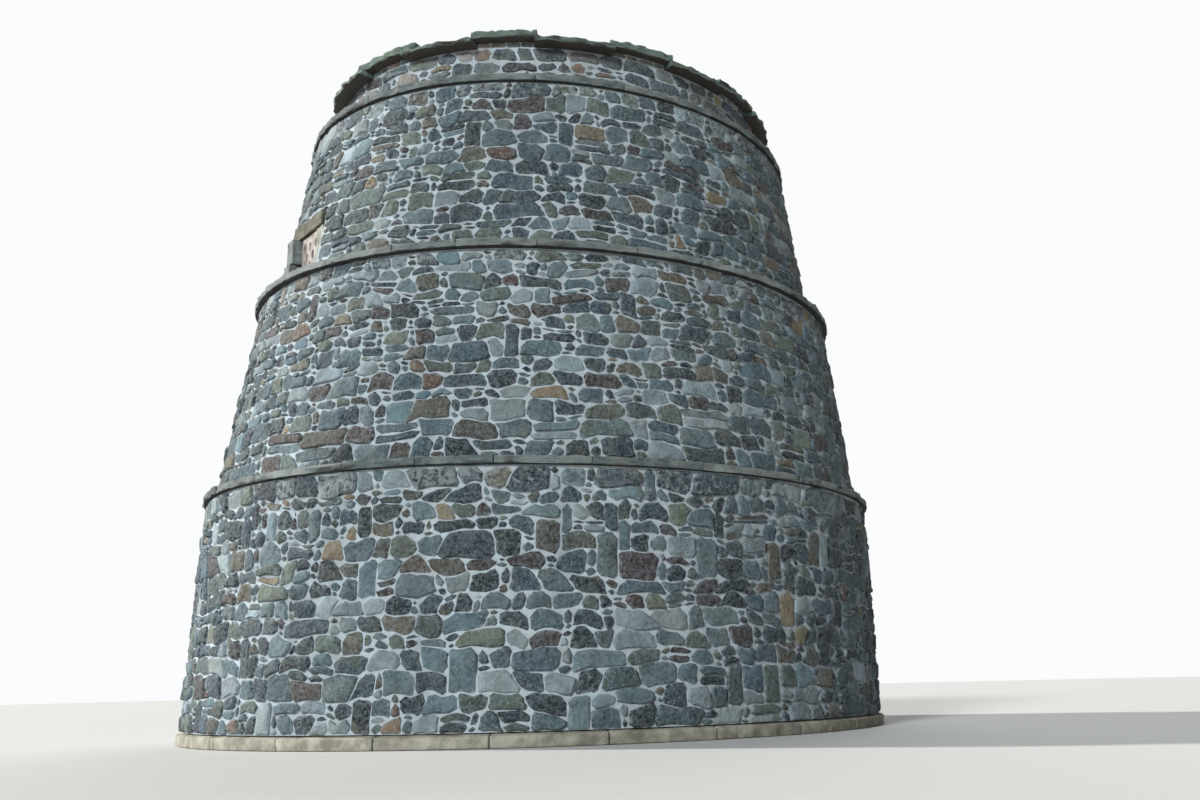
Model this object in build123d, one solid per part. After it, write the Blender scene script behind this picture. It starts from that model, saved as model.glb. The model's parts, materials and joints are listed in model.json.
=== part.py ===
from build123d import *
import math
import os

# A round stone dovecote of the beehive kind, in millimetres. The ground is z = 0, the tower's axis is Z,
# the flight holes face -Y and the doorway faces -X. Azimuths turn from -Y towards +X.

# Base course, and four battered stages above it: each stage is set back from the one below
base_radius = 4050
base_height = 140
base_depth = 380
base_weathering = 25
lower_setback = 57
lower_batter = 128
lower_head_height = 2585
middle_setback = 100
middle_batter = 349
middle_height = 2190
upper_setback = 171
upper_batter = 335
upper_height = 1955
wallhead_setback = 250
wallhead_batter = 40
wallhead_height = 465

# Thickness of the wall; its inner face is one straight batter from the floor to the wallhead
wall_foot_thickness = 1193
wall_head_thickness = 670

# String courses: projecting slabs bedded in the wall head under them
string_thickness = 95
string_bed_depth = 350
string_weathering_width = 110
string_weathering_fall = 14
lower_string_projection = 70
middle_string_projection = 92
upper_string_projection = 64
lower_string_slabs = 26
middle_string_slabs = 24
upper_string_slabs = 20

# Eaves: slabs laid alternately under and over each other, with packing in the gaps of the lower layer.
# The over slabs were not squared to one length, so each has its own arc in degrees, from the first azimuth on
eaves_projection = 195
eaves_slab_depth = 515
eaves_pairs = 11
eaves_under_thickness = 60
eaves_over_thickness = 95
eaves_over_setback = 50
eaves_under_arc = 18.5
eaves_over_arcs = [15.5, 16, 18, 19, 17, 20, 18.5, 16.5, 19.5, 17.5, 20.7]
first_over_slab_azimuth = 47.5

# Roof: a shallow vault with stepped beds for three courses of flags, open at the crown. Two of the beds take
# a share of the way from the vault's foot to the kerb, and the upper bed takes the rest
vault_joint = 18
vault_thickness = 280
vault_segments = 6
lower_bed_share = 0.417
lower_bed_rise = 250
middle_bed_share = 0.362
middle_bed_rise = 195
upper_bed_rise = 60
flag_thickness = 68
flag_lap = 110
eaves_lap = 170
lower_flags = 15
middle_flags = 11
upper_flags = 9
oculus_radius = 500
kerb_width = 290
kerb_height = 170
kerb_stones = 8

# Flight holes: a pierced panel of shelves and uprights, set back between two jambs under a lintel. The left
# jamb, as one faces them, stands out from the wall, and the right one is set back from it
flight_panel_width = 480
flight_panel_height = 615
flight_panel_thickness = 90
flight_panel_setback = 135
flight_hole_width = 62
flight_hole_height = 90
flight_hole_spacing = 180
flight_hole_rows = 4
flight_hole_row_pitch = 115
flight_top_row_drop = 140
flight_jamb_width = 190
flight_jamb_depth = 300
flight_lower_jamb_projection = 5
flight_upper_jamb_setback = 23
flight_lower_jamb_height = 320
flight_right_jamb_setback = 90
flight_lintel_height = 165
flight_lintel_bearing = 185
flight_lintel_setback = 95
flight_lintel_depth = 300

# Doorway, facing -X, with a plank leaf hung in a check of the jambs
door_azimuth = -90
door_width = 760
door_height = 1480
door_setback = 43
door_stone_depth = 300
door_stone_width = 210
door_long_stone_width = 330
door_jamb_stones = 4
door_check_width = 50
door_lintel_bearing = 300
door_lintel_height = 270
threshold_rise = 10
passage_width = 860
passage_height = 1700
leaf_thickness = 45
leaf_side_gap = 6
ledge_height = 110
ledge_thickness = 32
ledge_side_gap = 18
ledge_inset = 210
band_length = 640
band_height = 50
band_thickness = 8
knuckle_radius = 17
knuckle_height = 64
crook_radius = 8
crook_plate_thickness = 10
ring_radius = 42
ring_wire_radius = 6
ring_height = 800
ring_plate_size = 70
ring_plate_thickness = 5
ring_plate_inset = 110

# How the masonry is divided and how close its pieces lie
wall_segments = 6
base_stones = 24
mortar_joint = 10
dressed_joint = 6
bed_clearance = 0.3

# Levels worked out from the stages
lower_string_level = lower_head_height
middle_foot_level = lower_string_level + string_thickness
middle_string_level = middle_foot_level + middle_height
upper_foot_level = middle_string_level + string_thickness
upper_string_level = upper_foot_level + upper_height
wallhead_foot_level = upper_string_level + string_thickness
eaves_level = wallhead_foot_level + wallhead_height
over_slab_level = eaves_level + eaves_under_thickness
eaves_top_level = over_slab_level + eaves_over_thickness
door_sill_level = base_height + threshold_rise
door_head_level = door_sill_level + door_height

# Radii worked out from the stages, from the base course inwards and upwards
lower_foot_radius = base_radius - lower_setback
lower_head_radius = lower_foot_radius - lower_batter
middle_foot_radius = lower_head_radius - middle_setback
middle_head_radius = middle_foot_radius - middle_batter
upper_foot_radius = middle_head_radius - upper_setback
upper_head_radius = upper_foot_radius - upper_batter
wallhead_foot_radius = upper_head_radius - wallhead_setback
wallhead_head_radius = wallhead_foot_radius - wallhead_batter
inner_foot_radius = lower_foot_radius - wall_foot_thickness
inner_head_radius = wallhead_head_radius - wall_head_thickness
eaves_radius = wallhead_head_radius + eaves_projection
eaves_over_radius = eaves_radius - eaves_over_setback
eaves_inner_radius = eaves_radius - eaves_slab_depth
vault_foot_radius = eaves_inner_radius - vault_joint
kerb_outer_radius = oculus_radius + kerb_width
roof_run = vault_foot_radius - kerb_outer_radius
lower_bed_run = lower_bed_share * roof_run
middle_bed_run = middle_bed_share * roof_run
middle_bed_radius = vault_foot_radius - lower_bed_run
upper_bed_radius = middle_bed_radius - middle_bed_run
lower_bed_slope = lower_bed_rise / lower_bed_run
lower_bed_level = eaves_top_level + eaves_lap * lower_bed_slope

# Faces of the dressed stones at the flight holes and the doorway, as distances from the axis
flight_panel_face = upper_foot_radius - flight_panel_setback
flight_lower_jamb_face = upper_foot_radius + flight_lower_jamb_projection
flight_upper_jamb_face = upper_foot_radius - flight_upper_jamb_setback
flight_lintel_face = upper_foot_radius - flight_lintel_setback
door_face = lower_foot_radius - door_setback


def inner_radius(level):
    """Radius of the wall's inner face at a level."""
    share = level / eaves_level
    return inner_foot_radius + (inner_head_radius - inner_foot_radius) * share


def sector(outline, centre, arc):
    """Solid swept about Z by an (r, z) outline, its middle at an azimuth."""
    face = make_face(Polyline(*[(r, 0, z) for r, z in outline], close=True))
    return Rot(0, 0, centre - arc / 2 - 90) * revolve(face, Axis.Z, revolution_arc=arc)


def ring(outline, count, first, joint):
    """Equal stones round the tower with an open joint between neighbours."""
    reach = max(r for r, z in outline)
    arc = 360 / count - math.degrees(joint / reach)
    return [sector(outline, first + k * 360 / count, arc) for k in range(count)]


def block(x0, x1, y0, y1, z0, z1):
    """Square-edged solid between two corners."""
    centre = Pos((x0 + x1) / 2, (y0 + y1) / 2, (z0 + z1) / 2)
    return centre * Box(x1 - x0, y1 - y0, z1 - z0)


def facing(azimuth, solids):
    """Turn solids modelled towards -Y so that they face an azimuth."""
    return [Rot(0, 0, azimuth) * solid for solid in solids]


def cut(solid, cutters):
    """Take every cutter out of a solid."""
    for cutter in cutters:
        solid = solid - cutter
    return solid


def save(name, shapes):
    """Write one node from a solid or a list of solids."""
    shapes = shapes if isinstance(shapes, list) else [shapes]
    solids = [solid for shape in shapes for solid in shape.solids()]
    export_step(solids[0] if len(solids) == 1 else Compound(solids), f"parts/{name}.step")


def stage_outline(foot_level, foot_radius, head_level, head_radius, foot_bed=None):
    """Outline of a wall stage whose head carries a string course in a rebate."""
    top = head_level + string_thickness
    rebate = head_radius - string_bed_depth
    foot = [(inner_radius(foot_level), foot_level), (foot_radius, foot_level)]
    if foot_bed:
        bed_radius, bed_level = foot_bed
        foot = [(inner_radius(0), 0), (bed_radius, 0), (bed_radius, bed_level), (foot_radius, bed_level)]
    head = [(head_radius, head_level), (rebate, head_level), (rebate, top), (inner_radius(top), top)]
    return foot + head


def string_outline(level, wall_radius, projection):
    """Outline of a string course slab, its outer edge weathered on top."""
    back = wall_radius - string_bed_depth + bed_clearance
    outer_radius = wall_radius + projection
    top = level + string_thickness
    shoulder = outer_radius - string_weathering_width
    return [(back, level), (outer_radius, level), (outer_radius, top - string_weathering_fall),
            (shoulder, top), (back, top)]


def base_course():
    """Low plinth of dressed stones, left out across the doorway."""
    back = base_radius - base_depth
    outline = [(back + bed_clearance, 0), (base_radius, 0), (base_radius, base_height - base_weathering),
               (lower_foot_radius, base_height), (back + bed_clearance, base_height)]
    half_gap = door_surround_half() + dressed_joint
    doorway = block(-half_gap, half_gap, -base_radius - 100, -back + 200, -10, base_height + 10)
    stones = ring(outline, base_stones, 0, mortar_joint)
    return facing(door_azimuth, [stone - doorway for stone in stones[1:]])


def door_surround_half():
    """Half the width over the long jamb stones."""
    return door_width / 2 + door_long_stone_width


def door_jamb_blocks():
    """Plain blocks of the jamb stones, long and short in turn, up both sides."""
    pitch = (door_height + dressed_joint) / door_jamb_stones
    blocks = []
    for side in (-1, 1):
        for k in range(door_jamb_stones):
            width = door_long_stone_width if k % 2 == 0 else door_stone_width
            inner, outer = side * door_width / 2, side * (door_width / 2 + width)
            foot = door_sill_level + k * pitch
            blocks.append(block(min(inner, outer), max(inner, outer), -door_face,
                                -door_face + door_stone_depth, foot, foot + pitch - dressed_joint))
    return blocks


def door_lintel_block():
    """Plain block of the lintel over the doorway."""
    half = door_width / 2 + door_lintel_bearing
    return block(-half, half, -door_face, -door_face + door_stone_depth,
                 door_head_level, door_head_level + door_lintel_height)


def door_threshold_block():
    """Threshold between the ends of the base course, flush with its front."""
    half = door_surround_half()
    return block(-half, half, -base_radius, -door_face + door_stone_depth, 0, door_sill_level)


def leaf_check():
    """Space that the jambs and lintel leave for the door leaf."""
    half = door_width / 2 + door_check_width
    return block(-half, half, -door_face - 10, -door_face + leaf_thickness + bed_clearance,
                 door_sill_level, door_head_level + door_check_width)


def door_recesses():
    """What the wall gives up to the doorway: its stones and the passage behind them."""
    pitch = (door_height + dressed_joint) / door_jamb_stones
    front, back = -base_radius - 100, -door_face + door_stone_depth
    half = door_surround_half()
    pockets = [block(-half, half, front, back, 0, door_sill_level)]
    for k in range(door_jamb_stones):
        width = door_long_stone_width if k % 2 == 0 else door_stone_width
        reach = door_width / 2 + width
        foot = door_sill_level + k * pitch
        top = min(foot + pitch, door_head_level)
        pockets.append(block(-reach, reach, front, back, foot, top))
    bearing = door_width / 2 + door_lintel_bearing
    lintel_top = door_head_level + door_lintel_height
    pockets.append(block(-bearing, bearing, front, back, door_head_level, lintel_top))
    pockets.append(block(-passage_width / 2, passage_width / 2, front, -inner_head_radius, 0, passage_height))
    return pockets


def lower_wall():
    """Lower stage in segments, the one at the doorway split beside and over it."""
    bed = (base_radius - base_depth, base_height)
    outline = stage_outline(base_height, lower_foot_radius, lower_string_level, lower_head_radius, bed)
    arc = 360 / wall_segments
    for k in range(1, wall_segments):
        save(f"lower_wall_{k}", sector(outline, door_azimuth + k * arc, arc))
    front = cut(sector(outline, 0, arc), door_recesses())
    half, far = passage_width / 2, base_radius + 500
    beside_left = block(-far, -half, -far, 0, -10, middle_foot_level + 10)
    beside_right = block(half, far, -far, 0, -10, middle_foot_level + 10)
    above = block(-half, half, -far, 0, -10, middle_foot_level + 10)
    save("lower_wall_left_of_door", facing(door_azimuth, [front & beside_left]))
    save("lower_wall_right_of_door", facing(door_azimuth, [front & beside_right]))
    save("lower_wall_over_door", facing(door_azimuth, [front & above]))


def middle_wall():
    """Second stage in equal segments."""
    outline = stage_outline(middle_foot_level, middle_foot_radius, middle_string_level, middle_head_radius)
    arc = 360 / wall_segments
    for k in range(wall_segments):
        save(f"middle_wall_{k + 1}", sector(outline, k * arc, arc))


def flight_jamb_blocks():
    """Two dressed stones up each side of the flight holes."""
    half = flight_panel_width / 2
    foot, middle = upper_foot_level, upper_foot_level + flight_lower_jamb_height
    head = upper_foot_level + flight_panel_height
    stones = []
    for side, setback in ((-1, 0), (1, flight_right_jamb_setback)):
        inner, outer = side * half, side * (half + flight_jamb_width)
        x0, x1 = min(inner, outer), max(inner, outer)
        lower_front, upper_front = setback - flight_lower_jamb_face, setback - flight_upper_jamb_face
        back = lower_front + flight_jamb_depth
        stones.append(block(x0, x1, lower_front, back, foot, middle - dressed_joint))
        stones.append(block(x0, x1, upper_front, back, middle, head))
    return stones


def flight_lintel():
    """Lintel across the jambs of the flight holes."""
    half = flight_panel_width / 2 + flight_lintel_bearing
    foot = upper_foot_level + flight_panel_height
    return block(-half, half, -flight_lintel_face, -flight_lintel_face + flight_lintel_depth,
                 foot, foot + flight_lintel_height)


def flight_recesses():
    """What the wall gives up to the flight holes: their stones and the opening behind them."""
    front = -upper_foot_radius - 200
    foot, head = upper_foot_level - 10, upper_foot_level + flight_panel_height
    half = flight_panel_width / 2
    jamb_reach = half + flight_jamb_width
    bearing = half + flight_lintel_bearing
    left_back = flight_jamb_depth - flight_lower_jamb_face
    return [block(-jamb_reach, -half, front, left_back, foot, head),
            block(half, jamb_reach, front, left_back + flight_right_jamb_setback, foot, head),
            block(-bearing, bearing, front, -flight_lintel_face + flight_lintel_depth,
                  head, head + flight_lintel_height),
            block(-half, half, front, 0, foot, head)]


def flight_panel():
    """Shelves and uprights of thin dressed stone that leave staggered rows of holes."""
    half = flight_panel_width / 2
    front, back = -flight_panel_face, -flight_panel_face + flight_panel_thickness
    head = upper_foot_level + flight_panel_height
    stones = []
    shelf_top = head
    for row in range(flight_hole_rows):
        in_row = 3 if row % 2 == 0 else 2
        level = head - flight_top_row_drop - row * flight_hole_row_pitch
        hole_foot, hole_head = level - flight_hole_height / 2, level + flight_hole_height / 2
        stones.append(block(-half, half, front, back, hole_head, shelf_top))
        left = -half
        for k in range(in_row):
            x = (k - (in_row - 1) / 2) * flight_hole_spacing
            stones.append(block(left, x - flight_hole_width / 2, front, back, hole_foot, hole_head))
            left = x + flight_hole_width / 2
        stones.append(block(left, half, front, back, hole_foot, hole_head))
        shelf_top = hole_foot
    stones.append(block(-half, half, front, back, upper_foot_level, shelf_top))
    return stones


def upper_wall():
    """Third stage in segments, the one at the flight holes split beside and over them."""
    outline = stage_outline(upper_foot_level, upper_foot_radius, upper_string_level, upper_head_radius)
    arc = 360 / wall_segments
    for k in range(1, wall_segments):
        save(f"upper_wall_{k}", sector(outline, k * arc, arc))
    front = cut(sector(outline, 0, arc), flight_recesses())
    half, far = flight_panel_width / 2, upper_foot_radius + 500
    low, high = upper_foot_level - 10, wallhead_foot_level + 10
    save("upper_wall_left_of_flight_holes", front & block(-far, -half, -far, 0, low, high))
    save("upper_wall_right_of_flight_holes", front & block(half, far, -far, 0, low, high))
    save("upper_wall_over_flight_holes", front & block(-half, half, -far, 0, low, high))


def wallhead():
    """Low fourth stage under the eaves."""
    outline = [(inner_radius(wallhead_foot_level), wallhead_foot_level),
               (wallhead_foot_radius, wallhead_foot_level),
               (wallhead_head_radius, eaves_level), (inner_radius(eaves_level), eaves_level)]
    return ring(outline, wall_segments, 0, mortar_joint)


def eaves():
    """Eaves slabs under and over, and the packing between the under slabs."""
    pitch = 360 / eaves_pairs
    under_outline = [(eaves_inner_radius, eaves_level), (eaves_radius, eaves_level),
                     (eaves_radius, over_slab_level), (eaves_inner_radius, over_slab_level)]
    over_outline = [(eaves_inner_radius, over_slab_level), (eaves_over_radius, over_slab_level),
                    (eaves_over_radius, eaves_top_level), (eaves_inner_radius, eaves_top_level)]
    packing_outline = [(eaves_inner_radius, eaves_level), (wallhead_head_radius, eaves_level),
                       (wallhead_head_radius, over_slab_level), (eaves_inner_radius, over_slab_level)]
    packing_arc = pitch - eaves_under_arc - math.degrees(2 * mortar_joint / eaves_inner_radius)
    azimuths = [first_over_slab_azimuth + k * pitch for k in range(eaves_pairs)]
    over_slabs = []
    for k, azimuth in enumerate(azimuths):
        over_slabs.append(sector(over_outline, azimuth, eaves_over_arcs[k % len(eaves_over_arcs)]))
    save("eaves_over_slabs", over_slabs)
    save("eaves_under_slabs", [sector(under_outline, a + pitch / 2, eaves_under_arc) for a in azimuths])
    save("eaves_packing", [sector(packing_outline, a, packing_arc) for a in azimuths])


def flag_rise(run, rise):
    """Height of a flag's thickness, measured upright, on a bed of a given slope."""
    return flag_thickness * math.hypot(run, rise) / run


# Roof beds as (outer radius, outer level, inner radius, inner level), each starting above the last flags
lower_bed = (vault_foot_radius, lower_bed_level, middle_bed_radius, lower_bed_level + lower_bed_rise)
middle_bed_level = lower_bed[3] + flag_rise(lower_bed_run, lower_bed_rise)
middle_bed = (middle_bed_radius, middle_bed_level, upper_bed_radius, middle_bed_level + middle_bed_rise)
upper_bed_level = middle_bed[3] + flag_rise(middle_bed_run, middle_bed_rise)
upper_bed = (upper_bed_radius, upper_bed_level, kerb_outer_radius, upper_bed_level + upper_bed_rise)
crown_level = upper_bed[3]


def roof_vault():
    """Vault from the wallhead to the open crown, its back stepped for the flags."""
    spring = inner_radius(eaves_level)
    crown_soffit = crown_level - vault_thickness
    outer = [(vault_foot_radius, eaves_level)]
    for bed in (lower_bed, middle_bed, upper_bed):
        outer += [(bed[0], bed[1]), (bed[2], bed[3])]
    outer.append((oculus_radius, crown_level))
    back = Polyline(*[(r, 0, z) for r, z in outer])
    crown = Line((oculus_radius, 0, crown_level), (oculus_radius, 0, crown_soffit))
    bulge = 0.12 * math.hypot(spring - oculus_radius, crown_soffit - eaves_level)
    middle = ((spring + oculus_radius) / 2 + bulge * 0.38, (eaves_level + crown_soffit) / 2 + bulge * 0.62)
    soffit = ThreePointArc((oculus_radius, 0, crown_soffit), (middle[0], 0, middle[1]),
                           (spring, 0, eaves_level))
    foot = Line((spring, 0, eaves_level), (vault_foot_radius, 0, eaves_level))
    face = make_face([back, crown, soffit, foot])
    arc = 360 / vault_segments - math.degrees(mortar_joint / vault_foot_radius)
    pitch = 360 / vault_segments
    return [Rot(0, 0, k * pitch) * revolve(face, Axis.Z, revolution_arc=arc) for k in range(vault_segments)]


def flag_course(bed, lap, count, first):
    """One course of roof flags laid on its bed and lapped over what lies below."""
    outer_radius, outer_level, inner, inner_level = bed
    run, rise = outer_radius - inner, inner_level - outer_level
    slope = rise / run
    thick = flag_rise(run, rise)
    low_r, low_z = outer_radius + lap, outer_level - lap * slope + bed_clearance
    high_r = inner + mortar_joint
    high_z = inner_level - mortar_joint * slope + bed_clearance
    outline = [(low_r, low_z), (low_r, low_z + thick), (high_r, high_z + thick), (high_r, high_z)]
    return ring(outline, count, first, mortar_joint)


def oculus_kerb():
    """Dressed kerb round the open crown."""
    outline = [(oculus_radius, crown_level), (kerb_outer_radius, crown_level),
               (kerb_outer_radius, crown_level + kerb_height), (oculus_radius, crown_level + kerb_height)]
    return ring(outline, kerb_stones, 0, dressed_joint)


def door_leaf():
    """Plank leaf in the check of the jambs."""
    half = door_width / 2 + door_check_width - leaf_side_gap
    return block(-half, half, -door_face, -door_face + leaf_thickness,
                 door_sill_level + leaf_side_gap, door_head_level + door_check_width - leaf_side_gap)


def ledge_levels():
    """Heights of the two ledges and of the hinge bands in front of them."""
    return [door_sill_level + ledge_inset, door_head_level - ledge_inset]


def door_ledges():
    """Ledges across the inner side of the leaf."""
    half = door_width / 2 - ledge_side_gap
    back = -door_face + leaf_thickness
    return [block(-half, half, back, back + ledge_thickness,
                  level - ledge_height / 2, level + ledge_height / 2) for level in ledge_levels()]


def door_bands():
    """Hinge bands on the leaf, each ending in a knuckle over the jamb."""
    pin_x = -(door_width / 2 + door_check_width + 2 * knuckle_radius)
    pin_y = -door_face - knuckle_radius - bed_clearance
    bands = []
    for level in ledge_levels():
        strap = block(pin_x, pin_x + band_length, -door_face - band_thickness, -door_face,
                      level - band_height / 2, level + band_height / 2)
        tip = Pos(pin_x + band_length, -door_face - band_thickness / 2, level) * Rot(90, 0, 0) * Cylinder(
            band_height / 2, band_thickness)
        knuckle = Pos(pin_x, pin_y, level) * Cylinder(knuckle_radius, knuckle_height)
        bore = Pos(pin_x, pin_y, level) * Cylinder(crook_radius + bed_clearance, 2 * knuckle_height)
        bands.append(strap + tip + knuckle - bore)
    return bands


def door_crooks():
    """Upright pins that carry the bands, each on a shelf let against the jamb's face."""
    pin_x = -(door_width / 2 + door_check_width + 2 * knuckle_radius)
    pin_y = -door_face - knuckle_radius - bed_clearance
    crooks = []
    for level in ledge_levels():
        shelf_top = level - knuckle_height / 2 - bed_clearance
        pin_top = level + knuckle_height / 2 + 2 * crook_radius
        pin_height = pin_top - shelf_top
        pin = Pos(pin_x, pin_y, shelf_top + pin_height / 2) * Cylinder(crook_radius, pin_height)
        shelf = block(pin_x - knuckle_radius, pin_x + knuckle_radius, pin_y - knuckle_radius, -door_face,
                      shelf_top - crook_plate_thickness, shelf_top)
        crooks.append(pin + shelf)
    return crooks


def door_ring():
    """Ring pull on its plate, near the free edge of the leaf."""
    x = door_width / 2 - ring_plate_inset
    face = -door_face
    half = ring_plate_size / 2
    plate = block(x - half, x + half, face - ring_plate_thickness, face,
                  ring_height - half, ring_height + half)
    boss_length = 2 * ring_wire_radius + ring_plate_thickness
    boss = Pos(x, face - ring_plate_thickness - boss_length / 2, ring_height) * Rot(90, 0, 0) * Cylinder(
        2 * ring_wire_radius, boss_length)
    drop = Pos(x, face - ring_plate_thickness - ring_wire_radius - 1, ring_height - ring_radius)
    return plate + boss + drop * Rot(90, 0, 0) * Torus(ring_radius, ring_wire_radius)


os.makedirs("parts", exist_ok=True)

save("base_course", base_course())
lower_wall()
middle_wall()
upper_wall()
save("wallhead", wallhead())

for stage, level, wall_radius, projection, slabs in (
        ("lower", lower_string_level, lower_head_radius, lower_string_projection, lower_string_slabs),
        ("middle", middle_string_level, middle_head_radius, middle_string_projection, middle_string_slabs),
        ("upper", upper_string_level, upper_head_radius, upper_string_projection, upper_string_slabs)):
    slab_outline = string_outline(level, wall_radius, projection)
    save(f"{stage}_string_course", ring(slab_outline, slabs, 180 / slabs, mortar_joint))

eaves()
save("roof_vault", roof_vault())
save("lower_roof_flags", flag_course(lower_bed, eaves_lap, lower_flags, 0))
save("middle_roof_flags", flag_course(middle_bed, flag_lap, middle_flags, 9))
save("upper_roof_flags", flag_course(upper_bed, flag_lap, upper_flags, 4))
save("oculus_kerb", oculus_kerb())

save("flight_hole_panel", flight_panel())
save("flight_hole_jambs", flight_jamb_blocks())
save("flight_hole_lintel", flight_lintel())

save("door_threshold", facing(door_azimuth, [door_threshold_block()]))
save("door_jambs", facing(door_azimuth, [stone - leaf_check() for stone in door_jamb_blocks()]))
save("door_lintel", facing(door_azimuth, [door_lintel_block() - leaf_check()]))
save("door_leaf", facing(door_azimuth, [door_leaf()]))
save("door_ledges", facing(door_azimuth, door_ledges()))
save("door_bands", facing(door_azimuth, door_bands()))
save("door_crooks", facing(door_azimuth, door_crooks()))
save("door_ring", facing(door_azimuth, [door_ring()]))
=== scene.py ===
import json
import math
import random

import bmesh
import bpy
from mathutils import Matrix, Vector, noise


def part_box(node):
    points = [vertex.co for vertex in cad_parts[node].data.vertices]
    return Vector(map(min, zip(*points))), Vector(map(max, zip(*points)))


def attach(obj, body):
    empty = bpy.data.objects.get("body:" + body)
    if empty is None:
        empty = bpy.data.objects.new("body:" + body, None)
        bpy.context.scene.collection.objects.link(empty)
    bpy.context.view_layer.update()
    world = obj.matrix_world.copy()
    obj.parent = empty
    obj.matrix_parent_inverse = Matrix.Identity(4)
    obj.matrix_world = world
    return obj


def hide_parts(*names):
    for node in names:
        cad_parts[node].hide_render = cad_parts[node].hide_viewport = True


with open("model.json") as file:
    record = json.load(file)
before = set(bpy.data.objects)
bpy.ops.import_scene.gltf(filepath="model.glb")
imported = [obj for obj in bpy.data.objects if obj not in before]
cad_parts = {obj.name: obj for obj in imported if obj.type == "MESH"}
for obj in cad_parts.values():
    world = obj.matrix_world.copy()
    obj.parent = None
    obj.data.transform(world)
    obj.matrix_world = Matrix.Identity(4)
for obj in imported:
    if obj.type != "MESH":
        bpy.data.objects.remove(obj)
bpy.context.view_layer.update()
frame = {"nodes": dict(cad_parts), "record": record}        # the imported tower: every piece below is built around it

fullTurn = 2 * math.pi


# Levels and radii, read off the frame

def radiusAt(nodeName, level):    # widest reach of a node at one of its levels, in metres
    reach = 0
    for vertex in frame["nodes"][nodeName].data.vertices:
        if abs(vertex.co.z - level) < 0.001:
            reach = max(reach, math.hypot(vertex.co.x, vertex.co.y))
    return reach


def stageOf(nodeName, footLevel, headLevel):    # a battered stretch of wall between two levels
    footRadius, headRadius = radiusAt(nodeName, footLevel), radiusAt(nodeName, headLevel)
    return {"footLevel": footLevel, "headLevel": headLevel, "footRadius": footRadius,
            "headRadius": headRadius, "girth": fullTurn * (footRadius + headRadius) / 2}


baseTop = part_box("base_course")[1].z
stringBoxes = {name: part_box(name + "_string_course") for name in ("lower", "middle", "upper")}
stages = {
    "lower": stageOf("lower_wall_1", baseTop, stringBoxes["lower"][0].z),
    "middle": stageOf("middle_wall_1", stringBoxes["lower"][1].z, stringBoxes["middle"][0].z),
    "upper": stageOf("upper_wall_1", stringBoxes["middle"][1].z, stringBoxes["upper"][0].z),
    "wallhead": stageOf("wallhead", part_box("wallhead")[0].z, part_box("wallhead")[1].z),
}


# Camera, as in the photograph: from the +X side of the flight holes, low down, looking up

photoView = {
    "azimuth": 60,            # degrees from -Y towards +X
    "distance": 15.259,       # from the tower's axis to the eye
    "eyeLevel": 0.55,
    "turn": 11.8,             # degrees to the right of the axis
    "pitch": 9.57,            # degrees up
    "roll": 1.32,
    "imageWidth": 1200, "imageHeight": 800,
    "focalPixels": 1206.4,
    "centreColumn": 801.3, "centreRow": 475.2,    # where the lens axis meets the picture
    "sensorWidth": 36,
}


def placeCamera(view):
    turn, pitch, roll = (math.radians(view[k]) for k in ("turn", "pitch", "roll"))
    level = Vector((math.sin(turn), math.cos(turn), 0))
    side = Vector((math.cos(turn), -math.sin(turn), 0))
    forward = level * math.cos(pitch) + Vector((0, 0, math.sin(pitch)))
    up = -level * math.sin(pitch) + Vector((0, 0, math.cos(pitch)))
    right = side * math.cos(roll) - up * math.sin(roll)
    up = side * math.sin(roll) + up * math.cos(roll)
    place = Matrix((right, up, -forward)).transposed().to_4x4()
    place.translation = Vector((0, -view["distance"], view["eyeLevel"]))
    camera = bpy.data.cameras.new("photoCamera")
    camera.sensor_width = view["sensorWidth"]
    camera.lens = view["focalPixels"] * view["sensorWidth"] / view["imageWidth"]
    camera.shift_x = (view["imageWidth"] / 2 - view["centreColumn"]) / view["imageWidth"]
    camera.shift_y = (view["centreRow"] - view["imageHeight"] / 2) / view["imageWidth"]
    camera.clip_end = 500
    holder = bpy.data.objects.new("photoCamera", camera)
    bpy.context.scene.collection.objects.link(holder)
    holder.matrix_world = Matrix.Rotation(math.radians(view["azimuth"]), 4, "Z") @ place
    bpy.context.scene.camera = holder


placeCamera(photoView)
print("camera placed")


# Small helpers for nodes, meshes and colours

def tone(red, green, blue):    # a colour as the eye reads it, 0 to 255, to the renderer's own scale
    made = []
    for value in (red, green, blue):
        value /= 255
        made.append(value / 12.92 if value <= 0.04045 else ((value + 0.055) / 1.055) ** 2.4)
    return (*made, 1.0)


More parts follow.
